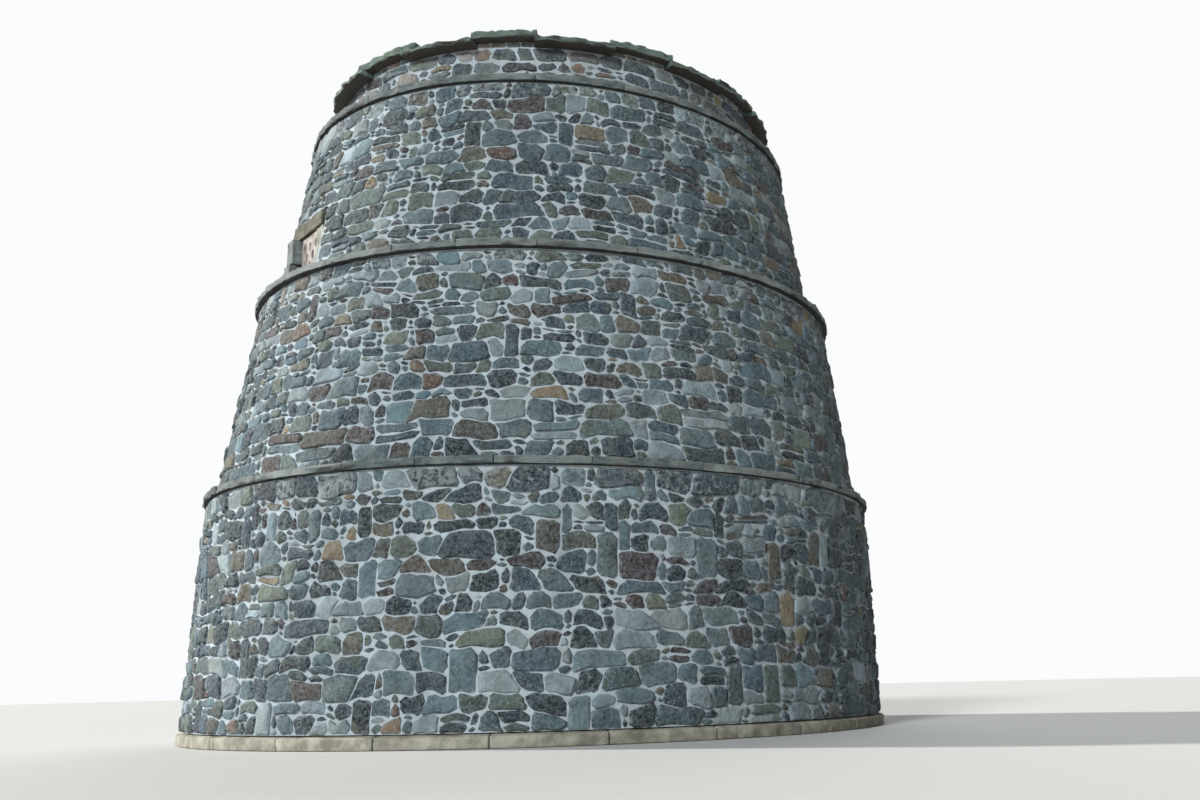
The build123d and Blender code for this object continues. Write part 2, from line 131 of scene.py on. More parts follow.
class Sketch:    # a node tree under way, with short words for the nodes used most
    def __init__(self, tree):
        self.tree = tree

    def feed(self, socket, value):    # links a socket to another, or sets it
        if isinstance(value, bpy.types.NodeSocket):
            self.tree.links.new(value, socket)
        else:
            socket.default_value = value

    def add(self, kind, inputs=(), **settings):    # one node, its inputs linked or set
        made = self.tree.nodes.new(kind)
        for key, value in settings.items():
            setattr(made, key, value)
        for socket, value in dict(inputs).items():
            self.feed(made.inputs[socket], value)
        return made

    def calc(self, operation, *values, clamp=False):    # a Math node, or a chain of them from left to right
        result, others = values[0], values[1:]
        if not others:
            return self.add("ShaderNodeMath", {0: result}, operation=operation).outputs[0]
        for other in others:
            result = self.add("ShaderNodeMath", {0: result, 1: other}, operation=operation,
                              use_clamp=clamp).outputs[0]
        return result

    def plus(self, *values):
        return self.calc("ADD", *values)

    def minus(self, *values, clamp=False):
        return self.calc("SUBTRACT", *values, clamp=clamp)

    def times(self, *values, clamp=False):
        return self.calc("MULTIPLY", *values, clamp=clamp)

    def over(self, *values):
        return self.calc("DIVIDE", *values)

    def noise(self, place, scale, detail, roughness=0.5, seed=None, output="Fac"):
        inputs = {"Vector": place, "Scale": scale, "Detail": detail, "Roughness": roughness}
        if seed is None:
            return self.add("ShaderNodeTexNoise", inputs).outputs[output]
        return self.add("ShaderNodeTexNoise", {**inputs, "W": seed}, noise_dimensions="4D").outputs[output]

    def spread(self, value, low, high, **settings):    # 0 at the low value, 1 at the high one
        return self.add("ShaderNodeMapRange", {"Value": value, "From Min": low, "From Max": high},
                        **settings).outputs["Result"]

    def split(self, vector):
        return self.add("ShaderNodeSeparateXYZ", {"Vector": vector}).outputs

    def join(self, x, y, z):
        return self.add("ShaderNodeCombineXYZ", {"X": x, "Y": y, "Z": z}).outputs[0]

    def stretch(self, place, scale):
        return self.add("ShaderNodeMapping", {"Vector": place, "Scale": scale}).outputs["Vector"]


def newTree(name, kind, inputs, outputs):    # a word names a socket's kind, any other value is its default
    tree = bpy.data.node_groups.new(name, kind)
    words = {float: "Float", int: "Int", tuple: "Color"}
    for way, sockets in (("INPUT", inputs), ("OUTPUT", outputs)):
        for label, value in sockets.items():
            word = value if isinstance(value, str) else words[type(value)]
            socket = tree.interface.new_socket(label, in_out=way, socket_type="NodeSocket" + word)
            if value != word:
                socket.default_value = value
    return tree, tree.nodes.new("NodeGroupInput").outputs, tree.nodes.new("NodeGroupOutput").inputs


def runTree(piece, tree, values):    # sets the tree's inputs by identifier
    modifier = piece.modifiers.new(tree.name, "NODES")
    modifier.node_group = tree
    for item in tree.interface.items_tree:
        if item.in_out == "INPUT" and item.name in values:
            modifier[item.identifier] = values[item.name]


def wearEdges(piece, width, angle):    # bevels the edges that turn by more than an angle
    bevel = piece.modifiers.new("wornEdges", "BEVEL")
    bevel.width, bevel.segments, bevel.limit_method = width, 2, "ANGLE"
    bevel.angle_limit = math.radians(angle)


def settle(piece, sharpAngle=None):    # modifiers turned to plain mesh
    bpy.context.view_layer.update()
    evaluated = piece.evaluated_get(bpy.context.evaluated_depsgraph_get())
    mesh = bpy.data.meshes.new_from_object(evaluated)
    piece.modifiers.clear()
    piece.data = mesh
    mesh.name = piece.name
    if sharpAngle is not None:
        mesh.shade_smooth()
        mesh.set_sharp_from_angle(angle=math.radians(sharpAngle))


def newPiece(name, points, faces=(), **attributes):    # a mesh with values stored at its points
    mesh = bpy.data.meshes.new(name)
    mesh.from_pydata(points, [], faces)
    for label, values in attributes.items():
        kind, field = ("FLOAT_COLOR", "color") if label == "tint" else ("FLOAT", "value")
        mesh.attributes.new(label, kind, "POINT").data.foreach_set(field, values)
    piece = bpy.data.objects.new(name, mesh)
    bpy.context.scene.collection.objects.link(piece)
    return piece


def keep(piece, slotName, *replaced):    # rides on the tower and stands for the nodes named
    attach(piece, "root")
    if replaced:
        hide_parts(*replaced)
    print(piece.name, len(piece.data.polygons), "faces")


def unevenCuts(count, swing, draw):    # where a length is cut into parts, as shares of it
    return [(index + (draw.uniform(-swing, swing) if 0 < index < count else 0)) / count
            for index in range(count + 1)]


# Shader groups that several materials share: each puts out masks or heights only

def shaderGroup(name, inputs, outputs):
    tree, given, out = newTree(name, "ShaderNodeTree", {"Vector": "Vector", **inputs},
                               {label: "Float" for label in outputs})
    return Sketch(tree), given, out


def stoneGrainGroup():    # broad mottling, fine pale specks and a rough surface
    make, given, out = shaderGroup("stoneGrain", {"Seed": 0.0, "Patch Scale": 9.0, "Speck Scale": 140.0},
                                   ("Mottle", "Speck", "Height"))
    place, seed = given["Vector"], given["Seed"]
    patch = make.noise(place, given["Patch Scale"], 5.0, 0.62, seed)
    speck = make.noise(place, given["Speck Scale"], 2.0, 0.6, seed)
    rough = make.noise(place, 34.0, 7.0, 0.68, seed)
    facets = make.add("ShaderNodeTexVoronoi", {"Vector": place, "W": seed, "Scale": 13.0, "Randomness": 1.0},
                      voronoi_dimensions="4D", feature="F1").outputs["Distance"]
    make.feed(out["Mottle"], make.spread(patch, 0.40, 0.62))
    make.feed(out["Speck"], make.spread(speck, 0.58, 0.72))
    make.feed(out["Height"], make.plus(rough, make.times(facets, 0.55)))
    return make.tree


def limeSmearGroup():    # lime left on a stone's margins by the pointing
    make, given, out = shaderGroup("limeSmear", {"Edge": 0.0, "Reach": 0.6, "Wander": 0.55}, ("Mask",))
    drift = make.minus(make.noise(given["Vector"], 17.0, 5.0, 0.65), 0.5)
    reached = make.plus(given["Edge"], make.times(drift, given["Wander"]))
    low = make.minus(1.0, given["Reach"])
    make.feed(out["Mask"], make.spread(reached, low, make.plus(low, 0.16), interpolation_type="SMOOTHSTEP"))
    return make.tree


def growthGroup():    # blotches of lichen or algae
    make, given, out = shaderGroup("growth", {"Scale": 3.0, "Cover": 0.4, "Seed": 0.0}, ("Mask",))
    broad = make.noise(given["Vector"], given["Scale"], 3.0, 0.6, given["Seed"])
    fine = make.noise(given["Vector"], 48.0, 4.0, 0.7, given["Seed"])
    both = make.plus(make.times(broad, 0.62), make.times(fine, 0.38))
    low = make.minus(0.72, make.times(given["Cover"], 0.42))
    make.feed(out["Mask"], make.spread(both, low, make.plus(low, 0.07), interpolation_type="SMOOTHSTEP"))
    return make.tree


def weatherGroup():    # soft dark streaks that run down the wall, and broad clouding
    make, given, out = shaderGroup("weather", {}, ("Streak", "Cloud"))
    tall = make.stretch(given["Vector"], (1.9, 1.9, 0.22))
    make.feed(out["Streak"], make.spread(make.noise(tall, 1.6, 4.0, 0.6), 0.46, 0.72))
    make.feed(out["Cloud"], make.spread(make.noise(given["Vector"], 0.55, 3.0, 0.55), 0.35, 0.65))
    return make.tree


groups = {"grain": stoneGrainGroup(), "smear": limeSmearGroup(), "growth": growthGroup(),
          "weather": weatherGroup()}


class Finish(Sketch):    # a material under way: its shader, its coats of colour and what feeds them
    def __init__(self, name, roughness, specular):
        self.material = bpy.data.materials.new(name)
        self.material.use_nodes = True
        super().__init__(self.material.node_tree)
        self.shader = self.tree.nodes["Principled BSDF"]
        self.shader.inputs["Roughness"].default_value = roughness
        self.shader.inputs["Specular IOR Level"].default_value = specular
        self.place = self.tree.nodes.new("ShaderNodeTexCoord").outputs["Object"]

    def group(self, key, **inputs):
        labelled = {label.replace("_", " "): value for label, value in inputs.items()}
        return self.add("ShaderNodeGroup", {"Vector": self.place, **labelled}, node_tree=groups[key]).outputs

    def attribute(self, name, output="Fac"):
        return self.add("ShaderNodeAttribute", attribute_name=name).outputs[output]

    def lay(self, colour, mask, share=1.0, blend="MIX"):    # one more coat over the colour so far
        made = self.add("ShaderNodeMix", data_type="RGBA", blend_type=blend, clamp_factor=True)
        values = {"Factor_Float": self.times(mask, share), "A_Color": self.colour, "B_Color": tone(*colour)}
        for socket in made.inputs:
            if socket.identifier in values:
                self.feed(socket, values[socket.identifier])
        self.colour = next(socket for socket in made.outputs if socket.identifier == "Result_Color")

    def close(self, height, distance):    # the bump, and the last coat into the shader
        bump = self.add("ShaderNodeBump", {"Height": height, "Distance": distance, "Strength": 1.0})
        self.feed(self.shader.inputs["Normal"], bump.outputs["Normal"])
        self.feed(self.shader.inputs["Base Color"], self.colour)
        return self.material


limeTone = (186, 199, 207)
seedReach = 40.0    # moves each stone to grain of its own


def rubbleStone():    # whinstone with the tint each stone carries, lime on its margins
    finish = Finish("whinstone_rubble", 0.84, 0.3)
    seed = finish.times(finish.attribute("tint", "Alpha"), seedReach)
    broad = finish.group("grain", Seed=seed, Patch_Scale=4.6, Speck_Scale=85.0)
    fine = finish.group("grain", Seed=seed, Patch_Scale=30.0, Speck_Scale=80.0)
    weather = finish.group("weather")
    margin = finish.attribute("margin")
    dusting = finish.plus(0.11, finish.times(weather["Cloud"], 0.12))
    smear = finish.group("smear", Edge=margin, Reach=dusting, Wander=1.1)
    veil = finish.group("smear", Edge=finish.attribute("veil"), Reach=0.50, Wander=1.5)
    growth = finish.group("growth", Scale=3.2, Cover=0.42, Seed=seed)
    finish.colour = finish.attribute("tint", "Color")
    finish.lay((112, 112, 116), broad["Mottle"], 0.54, "MULTIPLY")
    finish.lay((156, 170, 176), fine["Mottle"], 0.28)
    finish.lay((24, 28, 34), fine["Speck"], 0.55)
    finish.lay((206, 210, 208), broad["Speck"], 0.46)
    finish.lay((116, 116, 92), growth["Mask"], 0.36)
    finish.lay((150, 152, 154), weather["Streak"], 0.35, "MULTIPLY")
    finish.lay(limeTone, finish.times(margin, fine["Mottle"]), 0.50)
    finish.lay(limeTone, smear["Mask"], 0.88)
    finish.lay((156, 164, 166), veil["Mask"], 0.62)
    return finish.close(broad["Height"], 0.030)


def limeMortar():    # pale lime pointing with coarse sand in it
    finish = Finish("lime_mortar", 0.93, 0.2)
    grain = finish.group("grain", Patch_Scale=9.0, Speck_Scale=190.0)
    finish.colour = tone(*limeTone)
    finish.lay((172, 174, 173), grain["Mottle"], 0.70)
    finish.lay((118, 116, 112), grain["Speck"], 0.45)
    finish.lay((176, 177, 178), finish.group("weather")["Streak"], 0.5, "MULTIPLY")
    return finish.close(grain["Height"], 0.010)


def slabStone(name, tones):    # bedded slabs, each between a dark and a light tone, lichen above, painted shade on the faces turned down
    finish = Finish(name, 0.86, 0.28)
    chance = finish.attribute("slabSeed")
    seed = finish.times(chance, seedReach)
    growth = finish.group("growth", Scale=4.2, Cover=0.55, Seed=seed)["Mask"]
    coarse = finish.group("grain", Seed=seed, Patch_Scale=5.0, Speck_Scale=110.0)
    smear = finish.group("smear", Edge=finish.attribute("margin"), Reach=0.36, Wander=0.9)
    finish.place = finish.stretch(finish.place, (1.0, 1.0, 5.0))
    beds = finish.group("grain", Seed=seed, Patch_Scale=8.0, Speck_Scale=40.0)
    upward = finish.split(finish.add("ShaderNodeNewGeometry").outputs["Normal"])["Z"]
    finish.colour = tone(*tones["dark"])
    finish.lay(tones["light"], chance)
    finish.lay((128, 134, 136), coarse["Mottle"], 0.75, "MULTIPLY")
    finish.lay((160, 170, 168), beds["Mottle"], 0.42)
    finish.lay((42, 46, 48), beds["Speck"], 0.62)
    finish.lay((190, 197, 188), coarse["Speck"], 0.42)
    finish.lay(tones["growth"], growth, 0.34)
    finish.lay(tones["growth"], finish.times(growth, 0.70, finish.spread(upward, 0.05, 0.6)))
    finish.lay(limeTone, smear["Mask"], 0.75)
    # painted shade: faces turned down are laid over with the dark "under" tone
    finish.lay(tones["under"], finish.spread(upward, -0.14, -0.45), 0.88)
    return finish.close(beds["Height"], 0.024)


def dressedStone():    # sandstone with the tint each stone carries
    finish = Finish("dressed_sandstone", 0.9, 0.2)
    grain = finish.group("grain", Patch_Scale=6.0, Speck_Scale=230.0)
    finish.colour = finish.attribute("tint", "Color")
    finish.lay((160, 158, 154), grain["Mottle"], 0.75, "MULTIPLY")
    finish.lay((116, 112, 104), grain["Speck"], 0.40)
    finish.lay((128, 130, 118), finish.group("growth", Scale=3.0, Cover=0.42)["Mask"], 0.38)
    finish.lay((190, 189, 186), finish.group("weather")["Streak"], 0.5, "MULTIPLY")
    return finish.close(grain["Height"], 0.010)


def weatheredBoards():    # silvery planks with grain up the leaf
    finish = Finish("weathered_boards", 0.8, 0.25)
    finish.place = finish.stretch(finish.place, (1.0, 1.0, 0.06))
    grain = finish.group("grain", Patch_Scale=42.0, Speck_Scale=190.0)
    finish.colour = tone(104, 96, 84)
    finish.lay((146, 140, 128), finish.attribute("boardSeed"), 0.7)
    finish.lay((78, 68, 56), grain["Mottle"], 0.8)
    finish.lay((150, 144, 132), grain["Speck"], 0.45)
    return finish.close(grain["Height"], 0.004)


def wroughtIron():    # black iron with rust in its pits
    finish = Finish("wrought_iron", 0.62, 0.45)
    grain = finish.group("grain", Patch_Scale=30.0, Speck_Scale=300.0)
    finish.colour = tone(44, 42, 42)
    finish.lay((104, 62, 40), grain["Mottle"], 0.5)
    return finish.close(grain["Height"], 0.002)


# "under" is a painted shade tone for downward faces: near black under the strings, dark brown under the eaves
slabTones = {"dark": (84, 99, 104), "light": (164, 172, 171), "under": (30, 29, 28),
             "growth": (146, 150, 142)}
eavesTones = {"dark": (76, 96, 94), "light": (122, 142, 134), "under": (72, 62, 56),
              "growth": (120, 144, 118)}
finishes = {"stone": rubbleStone(), "lime": limeMortar(), "dressed": dressedStone(),
            "slab": slabStone("whinstone_slab", slabTones), "eaves": slabStone("eaves_slab", eavesTones),
            "boards": weatheredBoards(), "iron": wroughtIron()}
print("materials made")


# Geometry Nodes trees: each takes and gives one geometry

class Shaping(Sketch):    # a Geometry Nodes tree under way
    def __init__(self, name, inputs):
        tree, self.given, self.out = newTree(name, "GeometryNodeTree", {
            "Geometry": "Geometry", **inputs, "Material": "Material"}, {"Geometry": "Geometry"})
        super().__init__(tree)

    def position(self):
        return self.add("GeometryNodeInputPosition").outputs[0]

    def normal(self):
        return self.add("GeometryNodeInputNormal").outputs[0]

    def named(self, name):
        return self.add("GeometryNodeInputNamedAttribute", {"Name": name}, data_type="FLOAT").outputs[0]

    def store(self, geometry, name, value, kind="FLOAT", domain="POINT"):
        return self.add("GeometryNodeStoreNamedAttribute", {
            "Geometry": geometry, "Name": name, "Value": value}, data_type=kind, domain=domain).outputs[0]

    def block(self, x, y, z):    # a unit cube with so many points along each side
        return self.add("GeometryNodeMeshCube", {"Size": (1, 1, 1), "Vertices X": x, "Vertices Y": y,
                        "Vertices Z": z}).outputs["Mesh"]

    def scatter(self, shape, size):    # one at each point given
        return self.add("GeometryNodeInstanceOnPoints", {"Points": self.given["Geometry"], "Instance": shape,
                        "Scale": size}).outputs[0]

    def real(self, geometry):
        return self.add("GeometryNodeRealizeInstances", {"Geometry": geometry}).outputs[0]

    def marked(self, laid, name):    # each instance made real with a chance value of its own
        chance = self.add("FunctionNodeRandomValue", {"Seed": self.given["Seed"]},
                          data_type="FLOAT").outputs[1]
        return self.real(self.store(laid, name, chance, domain="INSTANCE")), self.named(name)

    def scaled(self, vector, factor):
        return self.add("ShaderNodeVectorMath", {0: vector, "Scale": factor}, operation="SCALE").outputs[0]

    def move(self, geometry, **where):
        return self.add("GeometryNodeSetPosition", {"Geometry": geometry, **where}).outputs[0]

    def around(self, angle, reach, level):    # a place round the tower's axis, from the -Y side towards +X
        east = self.times(self.calc("SINE", angle), reach)
        return self.join(east, self.times(self.calc("COSINE", angle), reach, -1.0), level)

    def swell(self, geometry, noise, middle):    # faces moved in or out as the noise says
        amount = self.times(self.minus(noise, middle), self.given["Roughness"])
        return self.move(geometry, Offset=self.scaled(self.normal(), amount))

    def close(self, geometry):
        painted = self.add("GeometryNodeSetMaterial", {"Geometry": self.real(geometry),
                           "Material": self.given["Material"]})
        self.feed(self.out["Geometry"], painted.outputs[0])
        return self.tree


def wrapTree():    # flat-laid masonry wrapped round a battered stage
    make = Shaping("wrapRoundTower", {
        "Foot Level": 0.0, "Head Level": 1.0, "Foot Radius": 1.0, "Head Radius": 1.0, "Laid Radius": 1.0,
        "Roughness": 0.003, "Grain": 0.05, "Seed": 1.0})
    given, laid = make.given, make.position()
    flat = make.split(laid)
    rough = make.noise(laid, make.over(1.0, given["Grain"]), 2.0, seed=given["Seed"])
    swing = make.times(make.minus(rough, 0.5), 2.0)
    clear = make.times(flat["Y"], 250.0, clamp=True)    # what is bedded in the wall stays put
    face = make.add("ShaderNodeMapRange", {
        "Value": flat["Z"], "From Min": given["Foot Level"], "From Max": given["Head Level"],
        "To Min": given["Foot Radius"], "To Max": given["Head Radius"]}, clamp=False).outputs["Result"]
    reach = make.plus(face, flat["Y"], make.times(swing, given["Roughness"], clear))
    angle = make.over(flat["X"], given["Laid Radius"])
    return make.close(make.move(given["Geometry"], Position=make.around(angle, reach, flat["Z"])))


def slabTree():    # one slab for each point, laid to its arc round the tower, chipped and roughened
    make = Shaping("slabRing", {
        "Depth": 0.5, "Thickness": 0.1, "Outer Radius": 1.0, "Slope": 0.0, "Fall": 0.0, "Fall Width": 0.1,
        "Undercut": 0.0, "Ragged": 0.0, "Joint Lime": 1.0, "Tint": (1.0, 1.0, 1.0, 1.0), "Chips": 0.01,
        "Roughness": 0.003, "Grain": 0.08, "Seed": 1, "Pieces Along": 14, "Pieces Deep": 4})
    given = make.given
    slab = make.block(given["Pieces Along"], given["Pieces Deep"], 3)
    ends = make.calc("POWER", make.times(make.calc("ABSOLUTE", make.split(make.position())["X"]), 2.0), 24.0)
    slab = make.store(slab, "margin", make.times(ends, given["Joint Lime"]))
    laid = make.scatter(slab, make.join(make.named("arc"), given["Depth"], given["Thickness"]))
    solid, own = make.marked(laid, "slabSeed")
    tint = make.scaled(given["Tint"], make.plus(0.82, make.times(own, 0.30)))
    solid = make.store(solid, "tint", tint, "FLOAT_COLOR")
    flat, upright = make.split(make.position()), make.split(make.normal())["Z"]
    inward = make.minus(given["Outer Radius"], flat["Y"])
    edge = make.minus(1.0, make.over(inward, given["Fall Width"]), clamp=True)
    top, bottom = make.times(upright, 3.0, clamp=True), make.times(upright, -3.0, clamp=True)
    run = make.times(flat["X"], given["Outer Radius"])
    torn = make.noise(make.join(run, flat["Y"], 0.0), 9.0, 3.0, 0.65, make.times(own, 90.0))
    share = make.plus(0.35, make.times(own, 1.3))
    fall = make.plus(given["Fall"], make.times(make.spread(torn, 0.36, 0.66), share, given["Ragged"]))
    level = make.plus(flat["Z"], make.times(inward, given["Slope"]))
    level = make.minus(level, make.times(edge, top, fall))
    level = make.plus(level, make.times(edge, bottom, given["Undercut"]))
    bite = make.noise(make.join(run, 0.0, make.times(flat["Z"], 2.0)), 6.5, 3.0, 0.6, make.times(own, 50.0))
    bitten = make.times(make.spread(bite, 0.34, 0.68), edge, given["Chips"])
    moved = make.move(solid, Position=make.around(flat["X"], make.minus(flat["Y"], bitten), level))
    rough = make.noise(make.position(), make.over(1.0, given["Grain"]), 3.0, 0.5, make.times(own, 50.0),
                       "Color")
    centred = make.add("ShaderNodeVectorMath", {0: rough, 1: (0.5, 0.5, 0.5)},
                       operation="SUBTRACT").outputs[0]
    return make.close(make.move(moved, Offset=make.scaled(centred, given["Roughness"])))


def roughenTree():    # an even roughening of any closed mesh
    make = Shaping("roughenFaces", {"Roughness": 0.003, "Grain": 0.08, "Seed": 1.0})
    rough = make.noise(make.position(), make.over(1.0, make.given["Grain"]), 4.0, seed=make.given["Seed"])
    return make.close(make.swell(make.given["Geometry"], rough, 0.72))


def boardTree():    # upright boards side by side, one for each point
    make = Shaping("boardRow", {"Depth": 0.045, "Height": 1.5, "Roughness": 0.003, "Seed": 1})
    size = make.join(make.given["Depth"], make.named("boardWidth"), make.given["Height"])
    solid, own = make.marked(make.scatter(make.block(2, 5, 36), size), "boardSeed")
    along = make.add("ShaderNodeVectorMath", {0: make.position(), 1: (1.0, 1.0, 0.12)},
                     operation="MULTIPLY").outputs[0]
    return make.close(make.swell(solid, make.noise(along, 26.0, 3.0, seed=make.times(own, 50.0)), 0.8))


def studTree():    # a low round head at each point
    make = Shaping("studRow", {"Radius": 0.011, "Height": 0.006})
    stud = make.add("GeometryNodeMeshUVSphere", {"Segments": 8, "Rings": 6, "Radius": 1.0}).outputs["Mesh"]
    radius = make.given["Radius"]
    return make.close(make.scatter(stud, make.join(make.given["Height"], radius, radius)))


trees = {"wrap": wrapTree(), "slab": slabTree(), "roughen": roughenTree(), "board": boardTree(),
         "stud": studTree()}


# Rubble: rough courses of stones laid flat, then wrapped round each stage

whinTones = [    # colour as the eye reads it, and how often it comes
    ((28, 38, 46), 14), ((52, 67, 76), 16), ((74, 93, 100), 22), ((97, 117, 122), 18),
    ((92, 102, 92), 10), ((148, 162, 166), 12), ((90, 84, 70), 6), ((64, 50, 48), 7),
    ((100, 80, 66), 1.5), ((136, 121, 93), 1.5)]
wallheadTones = [
    ((78, 87, 93), 20), ((98, 107, 112), 22), ((116, 120, 118), 14), ((72, 62, 62), 7),
    ((140, 118, 104), 7), ((158, 142, 112), 7), ((150, 140, 132), 6), ((106, 112, 106), 10)]

walling = {"courseHeight": (0.125, 0.20), "aspect": 1.60, "spread": 0.30, "wave": 0.065, "ripple": 0.045,
           "slant": 0.042, "joint": (0.005, 0.017), "round": (0.008, 0.042), "proud": (0.008, 0.034),
           "split": 0.13, "pins": 0.26, "tall": 0.10, "bare": 0.012, "tones": whinTones}
rubble = {
    "lower": {**walling, "courseHeight": (0.13, 0.225), "aspect": 1.42, "wave": 0.080, "ripple": 0.055,
              "slant": 0.055, "round": (0.008, 0.045), "proud": (0.010, 0.036), "split": 0.12, "tall": 0.16,
              "bare": 0.015, "seed": 11},
    "middle": {**walling, "seed": 23},
    "upper": {**walling, "seed": 37},
    "wallhead": {"courseHeight": (0.15, 0.21), "aspect": 1.75, "spread": 0.34, "wave": 0.040,
                 "ripple": 0.036, "slant": 0.040, "joint": (0.008, 0.024), "round": (0.010, 0.050),
                 "proud": (0.006, 0.022), "split": 0.10, "pins": 0.20, "tall": 0.0, "bare": 0.0,
                 "tones": wallheadTones, "seed": 41},
}
limeBand = 0.23             # under each string the lime is spread further over the stones
pinWidth = (0.070, 0.135)
bedDepth = 0.016            # how far a stone's back goes into the wall
slowWave, quickWave = 0.75, 0.17    # the lengths over which a bed joint wanders
headShare = 0.35            # of that wandering, at a stage's last bed
leastGap = 0.03             # what is narrower stays in lime
tallWidth = 1.25            # a stone through two courses is narrower than this, in course heights
aspectLimits = (0.9, 3.0)
slipLength, fillerLength, cutSwing = 0.16, 0.22, 0.2
leastStone, smallStone, smallFace = 0.030, 0.075, 0.03    # smaller ones are left out, or have fewer corners
rubbleSharp, slabSharp, studSharp = 26, 45, 60            # degrees from which an edge shows
leanRoom, leanSpread, bowShare = 0.28, 0.6, 0.3           # how an upright joint leans and bows
pinHeights = ((0.30, 0.44), (0.56, 0.70))
halfChance, underChance = 0.55, 0.6    # of a stone split in two, and of thin slips under the rest
halfHeight, slipHeight = (0.40, 0.60), (0.27, 0.36)
jointMost, wornShare = 0.18, 0.05      # of a stone's least side
headRound, roundMost = 1.6, 0.38       # upper corners are worn rounder, and none beyond a share of its side
roundAlong, roundUp = (0.7, 1.5), (0.6, 1.3)
stepSwing, headWander, sideWander = (0.8, 1.2), (-0.006, 0.007), (-0.003, 0.007)    # points along a side
lightSwing, warmthSwing, greenSwing = 0.10, 2.5, 1.0      # how stones of one colour differ
darkest, palest = 24, 225
sideClear, footClear, headClear = 0.012, 0.008, 0.010     # lime round an opening's dressed stones
facing = {    # how a stone's face stands proud, tilts and rounds over
    "smallProud": 0.6, "tiltAcross": (-0.08, 0.08), "tiltUp": (-0.08, 0.10), "bevel": (0.004, 0.010),
    "bevelMost": 0.10, "inner": 0.034, "innerMost": 0.24, "lump": 0.011, "lumpSize": 0.08,
    "leastProud": 0.0015, "crown": 0.006}


def courseLevels(values, stage, draw):
    height = stage["headLevel"] - values["bare"] - stage["footLevel"]
    heights = []
    while sum(heights) < height:
        heights.append(draw.uniform(*values["courseHeight"]))
    scale = height / sum(heights)
    levels = [stage["footLevel"]]
    for step in heights:
        levels.append(levels[-1] + step * scale)
    return levels


def bedAt(values, stage, levels, k, s):    # a bed joint's level, which wanders except at foot and head
    if k == 0 or (k == len(levels) - 1 and values["bare"] == 0):
        return levels[k]
    angle, radius = fullTurn * s / stage["girth"], stage["girth"] / fullTurn
    east, north = radius * math.cos(angle), radius * math.sin(angle)
    slow = noise.noise(Vector((east / slowWave, north / slowWave, 0.7 * k)))
    quick = noise.noise(Vector((east / quickWave, north / quickWave, 5.3 * k + 40)))
    share = headShare if k == len(levels) - 1 else 1.0
    return levels[k] + share * (values["wave"] * slow + values["ripple"] * quick)


def meets(girth, a, b):    # whether two stretches of the turn overlap
    return (b[0] - a[0]) % girth < a[1] - a[0] or (a[0] - b[0]) % girth < b[1] - b[0]


def freeStretches(girth, start, blocked):    # what is left of one turn from a start, clear of the blocks
    stretches, place = [], 0.0
    for offset, length in sorted(((low - start) % girth, high - low) for low, high in blocked):
        if offset > place + leastGap:
            stretches.append((start + place, start + offset))
        place = max(place, offset + length)
    if girth - place > leastGap:
        stretches.append((start + place, start + girth))
    return stretches


def fillStretch(values, start, stop, height, mayBeTall, draw):    # a stretch's joints and kinds of stone
    widths, kinds = [], []
    while sum(widths) < stop - start:
        if draw.random() < values["pins"]:
            widths.append(draw.uniform(*pinWidth))
            kinds.append("pins")
        shape = math.exp(draw.gauss(math.log(values["aspect"]), values["spread"]))
        widths.append(height * min(max(shape, aspectLimits[0]), aspectLimits[1]))
        chance = draw.random()
        kinds.append("tall" if chance < values["tall"] else
                     "split" if chance > 1 - values["split"] else "whole")
    scale = (stop - start) / sum(widths)
    places = [start]
    for width in widths:
        places.append(places[-1] + width * scale)
    for index in range(len(kinds)):
        begin, end = places[index], places[index + 1]
        if kinds[index] == "tall" and not (end - begin < tallWidth * height and mayBeTall(begin, end)):
            kinds[index] = "whole"
    joints = []
    for index, place in enumerate(places):
        free = 0 < index < len(places) - 1 and "tall" not in (kinds[index - 1], kinds[index])
        room = leanRoom * scale * min(widths[index - 1], widths[index]) if free else 0.0
        lean = max(-room, min(room, draw.gauss(0, leanSpread) * values["slant"]))
        joints.append((place, lean, draw.uniform(-bowShare, bowShare) * room))
    return joints, kinds


def cutCell(cell, kind, width, draw):    # a pinned joint or a split stone in its own pieces
    if kind == "pins":
        middle = draw.choice([draw.uniform(*heights) for heights in pinHeights])
        return [{**cell, "high": middle}, {**cell, "low": middle}]
    if kind == "split":
        if draw.random() < halfChance:
            middle = draw.uniform(*halfHeight)
            return [{**cell, "high": middle}, {**cell, "low": middle}]
        slip = draw.uniform(*slipHeight)
        under = draw.random() < underChance
        thin, thick = ((0.0, slip), (slip, 1.0)) if under else ((1 - slip, 1.0), (0.0, 1 - slip))
        cuts = unevenCuts(max(1, round(width / slipLength)), cutSwing, draw)
        return [{**cell, "low": thick[0], "high": thick[1]}] + [
            {**cell, "low": thin[0], "high": thin[1], "from": a, "to": b} for a, b in zip(cuts, cuts[1:])]
    return [cell]


